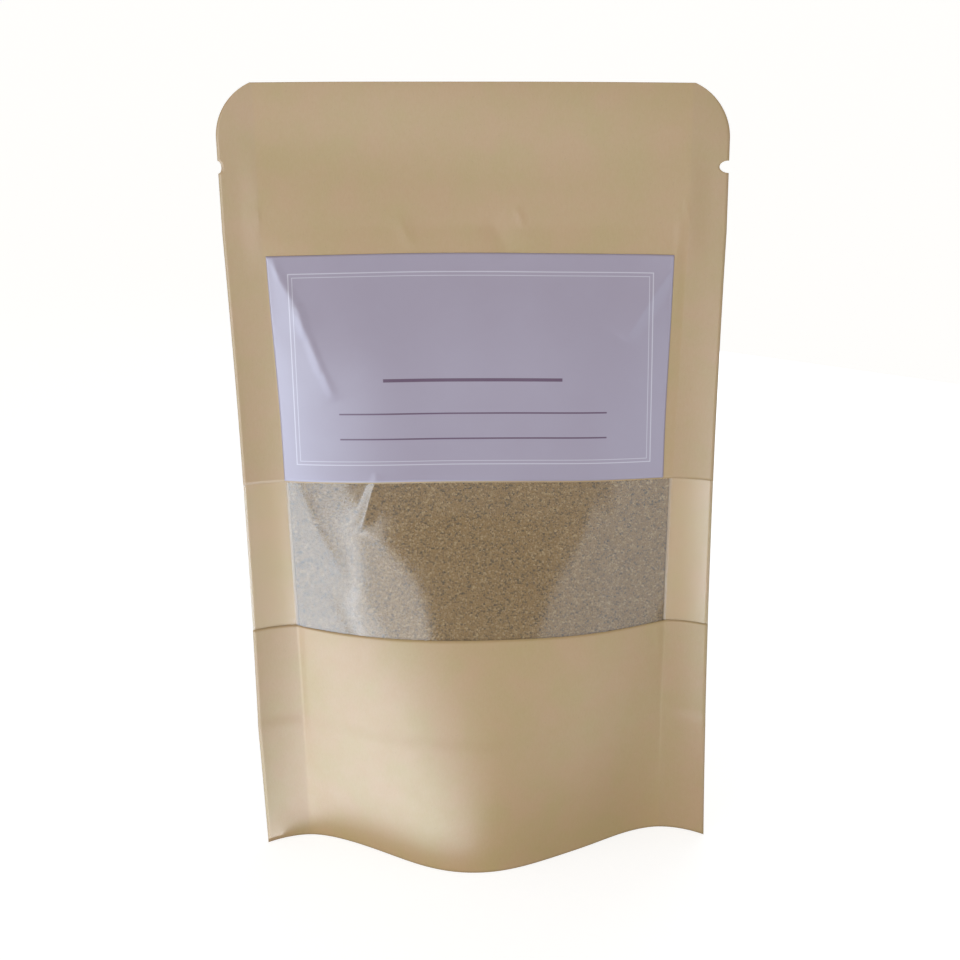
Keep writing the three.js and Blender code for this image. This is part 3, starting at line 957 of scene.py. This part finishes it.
label_z = rows_between(LABEL_LOW.z, LABEL_HIGH.z, LABEL_STEP)[:, None]
label_share = np.linspace(LABEL_LOW.x, LABEL_HIGH.x, LABEL_COLUMNS)[None, :] / (WIDTH / 2)
wider = 1 + LABEL_SPREAD * ease(SPREAD_FOOT, SPREAD_TOP, label_z)
label_x = label_share * body_half(label_z) * wider
label_z = np.broadcast_to(label_z, label_x.shape)
label = ply("lavender_label", label_x, label_z, -1, LABEL_INNER, LABEL_THICK, LABEL_PAPER)

# %% [markdown]
# ## The base fold
# The base is a separate sheet folded up inside the foot of the pouch like a W. Its two hems are
# sealed to the front and the back. Between the side seals the fill presses its middle flat onto
# the table, and towards the seals it stays folded, so underneath it forms a saddle.

# %% Gusset sheet
GUSSET_THICK = 0.14
FLOOR_END = 0.35
FOLD_START = 0.9
FOLD_RADIUS = 2.5
GUSSET_INSET = 0.5
GUSSET_COLUMNS = 150
FLAT_BY = 0.4
LEG_ROWS = 26
TIP_ROWS = 12
HEM_ROWS = 6


def gusset_half_line(x):
    """Rows of (y, z) from the foot of the hem to the fold, for each x: arrays (rows, x)."""
    fold = ease(FLOOR_END, FOLD_START, np.abs(x) / seal_half(0.0))
    ys, zs = [], []
    for share in np.linspace(0, 1, HEM_ROWS):
        z = HEM_SEAL * share + 0 * x
        ys.append(bulge(x, z) + PLY_ROOM - GUSSET_THICK / 2)
        zs.append(z)
    half = ys[-1]
    radius = np.minimum(half, FOLD_RADIUS)
    for i in range(1, LEG_ROWS + TIP_ROWS + 1):
        v = i / (LEG_ROWS + TIP_ROWS)
        flat_z = mix(HEM_SEAL, GUSSET_THICK / 2, ease(0, FLAT_BY, v))
        leg = min(1, i / LEG_ROWS)
        tip = max(0, i - LEG_ROWS) / TIP_ROWS * np.pi / 2
        steep_y = mix(half, radius, leg) * (1 if i <= LEG_ROWS else np.cos(tip))
        steep_z = mix(HEM_SEAL, FOLD_DEPTH - radius, leg) + radius * np.sin(tip)
        ys.append(mix(half * (1 - v), steep_y, fold))
        zs.append(mix(flat_z, steep_z, fold))
    ys[-1] = 0 * x
    return np.array(ys), np.array(zs)


def bottom_gusset():
    seal = seal_half(0.0)
    right_flange = mix(seal, outline_half(0.0, 0.0) - GUSSET_INSET, FLANGE_SHARES)
    left_flange = mix(seal, outline_half(0.0, 0.0, HEM_TUCK) - GUSSET_INSET, FLANGE_SHARES)
    x = np.concatenate([-left_flange[::-1], np.linspace(-seal, seal, GUSSET_COLUMNS), right_flange])
    ys, zs = gusset_half_line(x)
    y = np.concatenate([-ys, ys[-2::-1]])
    z = np.concatenate([zs, zs[-2::-1]])
    along = np.stack([np.gradient(y, axis=0), np.gradient(z, axis=0)])
    along = along / np.maximum(1e-9, np.hypot(*along))
    xs = np.broadcast_to(x, y.shape)
    centre = middle(xs, z)
    faces = []
    for off in (GUSSET_THICK / 2, -GUSSET_THICK / 2):
        faces.append(np.stack([xs, centre + y - off * along[1], z + off * along[0]], -1))
    return closed_sheet("kraft_bottom_gusset", *faces, KRAFT_BASE, {"sealed": 0 * y})


gusset = bottom_gusset()

# %% [markdown]
# ## The sage
# The fill is one heap with the shape of the room it has: up the front, over the top, down the back
# and along the base fold. Rings round that room, one behind the other from left to right, make its
# skin. A random grain roughens its front, and its rows lie closest where the window shows it.

# %% Sage heap
FILL_TOP = 106.0
FILL_SPAN = 0.985
SAGE_CLEAR = 0.22
LEAST_DEPTH = 0.05
GRAIN_DEPTH = 0.05
GRAIN_STEP = 0.4
GRAIN_SEED = 5
HEAP_RINGS = 240
LOW_ROWS, TOP_ROWS, BACK_ROWS, BASE_ROWS = 30, 6, 60, 22
GRAIN_BELOW, GRAIN_ABOVE = 4, 2
CLOSED_FROM, CLOSED_BY = 0.4, 0.65
FOOT_ABOVE_HEM, FOOT_ABOVE_FOLD = 1.5, 1
BASE_CLEAR = 0.3
BASE_POWER = 6
BASE_REACH = 0.97


def heap_face(t, z, side):
    """The heap's front or back, a little inside the lining."""
    x = t * seal_half(z)
    depth = np.maximum(LEAST_DEPTH, stand_off(x, z, side) - SAGE_CLEAR)
    return x, middle(x, z) + side * depth


def heap_base(t, foot, closed):
    """The heap's underside: flat on the base fold, and up over the fold where it stays closed."""
    share = np.linspace(1, -1, BASE_ROWS)[None, 1:-1]
    rise = (foot - 2 * BASE_CLEAR) * np.abs(share) ** BASE_POWER
    z = mix(GUSSET_THICK + BASE_CLEAR + rise, foot, closed)
    x = t * seal_half(z)
    reach = stand_off(t * seal_half(foot), foot, 1) - SAGE_CLEAR
    return x, middle(x, z) + share * reach * mix(BASE_REACH, 1.0, closed), z


def sage_heap():
    t = np.linspace(-FILL_SPAN, FILL_SPAN, HEAP_RINGS)[:, None]
    closed = ease(CLOSED_FROM, CLOSED_BY, np.abs(t))
    foot = mix(HEM_SEAL + FOOT_ABOVE_HEM, FOLD_DEPTH + FOOT_ABOVE_FOLD, closed)
    grain_foot = WINDOW_BOTTOM - GRAIN_BELOW
    grain_top = WINDOW_TOP + GRAIN_ABOVE
    below = mix(foot, grain_foot, np.linspace(0, 1, LOW_ROWS)[None, :-1])
    window = rows_between(grain_foot, grain_top, GRAIN_STEP)[None, :] + 0 * t
    above = mix(grain_top, FILL_TOP, np.linspace(0, 1, TOP_ROWS)[None, 1:]) + 0 * t
    front_z = np.concatenate([below, window, above], axis=1)
    back_z = mix(FILL_TOP, foot, np.linspace(0, 1, BACK_ROWS)[None, :])
    grain = np.random.default_rng(GRAIN_SEED).uniform(0, GRAIN_DEPTH, front_z.shape)
    front_x, front_y = heap_face(t, front_z, -1)
    back_x, back_y = heap_face(t, back_z, 1)
    base_x, base_y, base_z = heap_base(t, foot, closed)
    x = np.concatenate([front_x, back_x, base_x], axis=1)
    y = np.concatenate([front_y + grain, back_y, base_y], axis=1)
    z = np.concatenate([front_z, back_z, base_z], axis=1)
    return np.stack([x, y, z], -1)


def closed_loft(name, rings, material):
    """A skin through rings of points, closed at both ends by fans of faces."""
    count, around = rings.shape[:2]
    index = np.arange(count * around).reshape(count, around)
    after = np.roll(index, -1, axis=1)
    skin = np.stack([index[:-1], after[:-1], after[1:], index[1:]], -1).reshape(-1, 4)
    start_hub = np.full(around, count * around)
    end_hub = start_hub + 1
    start_fan = np.stack([after[0], index[0], start_hub, start_hub], -1)
    end_fan = np.stack([index[-1], after[-1], end_hub, end_hub], -1)
    points = np.concatenate([rings.reshape(-1, 3), rings[[0, -1]].mean(axis=1)])
    faces = np.concatenate([skin, start_fan, end_fan])
    return finish_mesh(name, points, faces, np.arange(len(faces)) < len(skin), material)


sage = closed_loft("ground_sage_heap", sage_heap(), SAGE_HEAP)

# %% [markdown]
# ## Loose flakes against the film
# Close to the film the powder is thousands of single flakes, each lying its own way. Geometry
# Nodes scatter them over a patch of the heap's front: points on the patch, a small faceted grain
# on each point, turned and sized at random, with a random tint that the finish reads. The seed is
# fixed, so the flakes fall the same way on every run. Afterwards any corner that would poke
# through the film is pressed back behind it.

# %% Flake scattering tree
FLAKE_INPUTS = {
    "Patch": "Geometry",
    "Flakes per mm2": "Float",
    "Flake length mm": "Float",
    "Seed": "Int",
    "Finish": "Material",
}
GRAIN_SEGMENTS, GRAIN_RINGS = 5, 2
FLAKE_SIZES = ((0.55, 0.35, 0.16), (1.35, 0.75, 0.34))
FLAKE_TURNS = ((-0.35, -0.35, 0.0), (0.35, 0.35, 6.28))
SIZE_SEED, TURN_SEED, TINT_SEED = 1, 2, 3


def random_vector(tree, low, high, seed):
    inputs = {"Min": low, "Max": high, "Seed": seed}
    return wire(tree, "FunctionNodeRandomValue", inputs, data_type="FLOAT_VECTOR").outputs[0]


def flake_tree():
    tree = bpy.data.node_groups.new("scatter_flakes", "GeometryNodeTree")
    for label, kind in FLAKE_INPUTS.items():
        tree.interface.new_socket(label, in_out="INPUT", socket_type="NodeSocket" + kind)
    tree.interface.new_socket("Flakes", in_out="OUTPUT", socket_type="NodeSocketGeometry")
    given = add_node(tree, "NodeGroupInput").outputs
    points = wire(tree, "GeometryNodeDistributePointsOnFaces", {
        "Mesh": given["Patch"],
        "Density": calc(tree, "DIVIDE", given["Flakes per mm2"], MM * MM),
        "Seed": given["Seed"],
    })
    grain = wire(tree, "GeometryNodeMeshUVSphere", {
        "Segments": GRAIN_SEGMENTS,
        "Rings": GRAIN_RINGS,
        "Radius": calc(tree, "MULTIPLY", given["Flake length mm"], MM / 2),
    })
    placed = wire(tree, "GeometryNodeInstanceOnPoints", {
        "Points": points.outputs["Points"],
        "Instance": grain.outputs["Mesh"],
        "Rotation": points.outputs["Rotation"],
        "Scale": random_vector(tree, *FLAKE_SIZES, SIZE_SEED),
    })
    turned = wire(tree, "GeometryNodeRotateInstances", {
        "Instances": placed.outputs["Instances"],
        "Rotation": random_vector(tree, *FLAKE_TURNS, TURN_SEED),
    })
    tinted = wire(tree, "GeometryNodeStoreNamedAttribute", {
        "Geometry": turned.outputs["Instances"],
        "Name": "tint",
    }, data_type="FLOAT", domain="INSTANCE")
    tint = wire(tree, "FunctionNodeRandomValue", {"Seed": TINT_SEED}, data_type="FLOAT")
    feed(tree, tinted.inputs["Value"], tint.outputs[1])
    real = wire(tree, "GeometryNodeRealizeInstances", {"Geometry": tinted.outputs["Geometry"]})
    dressed = wire(tree, "GeometryNodeSetMaterial", {
        "Geometry": real.outputs["Geometry"],
        "Material": given["Finish"],
    })
    wire(tree, "NodeGroupOutput", {"Flakes": dressed.outputs["Geometry"]})
    return tree


FLAKE_TREE = flake_tree()
print("flake tree:", len(FLAKE_TREE.nodes), "nodes")

# %% Scatter the flakes behind the window
FLAKE_VALUES = {
    "Flakes per mm2": 4.3,
    "Flake length mm": 0.48,
    "Seed": 7,
    "Finish": SAGE_FLAKES,
}
FLAKE_BED = 0.17
PATCH_LAP = 2
PATCH_STEP = 1.0
PATCH_COLUMNS = 100

patch_z = rows_between(WINDOW_BOTTOM - PATCH_LAP, WINDOW_TOP + PATCH_LAP, PATCH_STEP)[:, None]
patch_x = np.linspace(-FILL_SPAN, FILL_SPAN, PATCH_COLUMNS)[None, :] * seal_half(patch_z)
patch_z = np.broadcast_to(patch_z, patch_x.shape)
patch_y = middle(patch_x, patch_z) - stand_off(patch_x, patch_z, -1) + FLAKE_BED
patch_points = np.stack([patch_x, patch_y, patch_z], -1).reshape(-1, 3)
index = np.arange(patch_x.size).reshape(patch_x.shape)
patch_mesh = bpy.data.meshes.new("patch")
patch_mesh.from_pydata((patch_points * MM).tolist(), [], quads(index).tolist())
patch = add_object("patch", patch_mesh)
scatter = patch.modifiers.new("scatter", "NODES")
scatter.node_group = FLAKE_TREE
sockets = {item.name: item.identifier for item in FLAKE_TREE.interface.items_tree}
for name, value in FLAKE_VALUES.items():
    scatter[sockets[name]] = value
evaluated = patch.evaluated_get(bpy.context.evaluated_depsgraph_get())
flake_mesh = bpy.data.meshes.new_from_object(evaluated)
flake_mesh.name = "loose_sage_flakes"
bpy.data.objects.remove(patch)
print("flakes", len(flake_mesh.polygons), "faces")

# %% Press back what would poke through the film
FLAKE_CLEAR = 0.02

flake_points = np.empty(len(flake_mesh.vertices) * 3)
flake_mesh.vertices.foreach_get("co", flake_points)
flake_points = flake_points.reshape(-1, 3) / MM
x, y, z = flake_points.T
z = np.clip(z, FILM_LOW.z, FILM_HIGH.z)
nearest = middle(x, z) - np.maximum(0, stand_off(x, z, -1) - FLAKE_CLEAR)
print("flake corners pressed back:", int((y < nearest).sum()), "of", len(y))
flake_points[:, 1] = np.maximum(y, nearest)
flake_mesh.vertices.foreach_set("co", (flake_points * MM).ravel())
flake_mesh.update()
flakes = add_object("loose_sage_flakes", flake_mesh)

# %% [markdown]
# ## The zip
# The zip lies inside, under the paper: a rib on the front strip presses into a groove on the back
# strip. From outside only a faint swelling shows. Each strip is one profile drawn along the bow of
# the pouch, in the milky plastic that such strips are made of.


# %% Zip strips
STRIP_OUTER = 0.34
STRIP_INNER = 0.24
RIB_HALF = 0.28
RIB_END = -0.1
GROOVE_HALF = 0.36
LIP_HALF = 0.62
LIP_END = -0.16
ZIP_RINGS = 61
ZIP_MILKY = (0.78, 0.77, 0.72)
ZIP_PALE = (0.86, 0.85, 0.81)
ZIP_ROUGHNESS = (0.3, 0.42)


def zip_finish():
    finish, tree, shader = new_finish("milky_zip")
    clouds = use_group(tree, CLOUDS, Cloud_scale=300.0)
    tone = blend_colour(tree, clouds.outputs["Cloud"], ZIP_MILKY, ZIP_PALE)
    dress(tree, shader, tone, spread(tree, clouds.outputs["Wisp"], *WIDE_RANGE, *ZIP_ROUGHNESS))
    return finish


ZIP_PLASTIC = zip_finish()


def zip_strip(name, profile):
    """profile is (y, z) round the section, set off from the middle plane and the zip's height."""
    reach = seal_half(ZIP_HEIGHT) - ZIP_END
    x = np.linspace(-reach, reach, ZIP_RINGS)[:, None]
    y, z = (np.array(profile)[:, k][None, :] for k in (0, 1))
    height = z + ZIP_HEIGHT + 0 * x
    ring = np.stack([x + 0 * y, middle(x, height) + y, height], -1)
    return closed_loft(name, ring, ZIP_PLASTIC)


half_band = ZIP_BAND / 2
rib_profile = [
    (-STRIP_OUTER, -half_band), (-STRIP_INNER, -half_band), (-STRIP_INNER, -RIB_HALF),
    (-RIB_END, -RIB_HALF), (-RIB_END, RIB_HALF), (-STRIP_INNER, RIB_HALF),
    (-STRIP_INNER, half_band), (-STRIP_OUTER, half_band),
]
lip_profile = [
    (STRIP_OUTER, -half_band), (STRIP_OUTER, half_band), (STRIP_INNER, half_band),
    (STRIP_INNER, LIP_HALF), (LIP_END, LIP_HALF), (LIP_END, GROOVE_HALF),
    (STRIP_INNER, GROOVE_HALF), (STRIP_INNER, -GROOVE_HALF), (LIP_END, -GROOVE_HALF),
    (LIP_END, -LIP_HALF), (STRIP_INNER, -LIP_HALF), (STRIP_INNER, -half_band),
]
front_strip = zip_strip("zip_rib_strip", rib_profile)
back_strip = zip_strip("zip_groove_strip", lip_profile)
print("zip strips at", round(ZIP_HEIGHT, 1), "mm")

# %% [markdown]
# ## Tie every piece to the frame
# Each piece stands for the solid of the same part, which is hidden. The loose flakes stand for no
# solid of their own.

# %% Ride and replace
PIECES = [
    (flakes, None, "ground_sage"),
    (back_panel, "back_panel", "kraft_paper"),
    (upper_panel, "front_upper_panel", "kraft_paper"),
    (lower_panel, "front_lower_panel", "kraft_paper"),
    (gusset, "bottom_gusset", "kraft_paper"),
    (window_film, "window_film", "window_film"),
    (label, "label", "label_paper"),
    (sage, "ground_sage", "ground_sage"),
    (front_strip, "front_zip_strip", "zip_plastic"),
    (back_strip, "back_zip_strip", "zip_plastic"),
]
for piece, node, slot in PIECES:
    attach(piece, "root")
    if node:
        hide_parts(node)
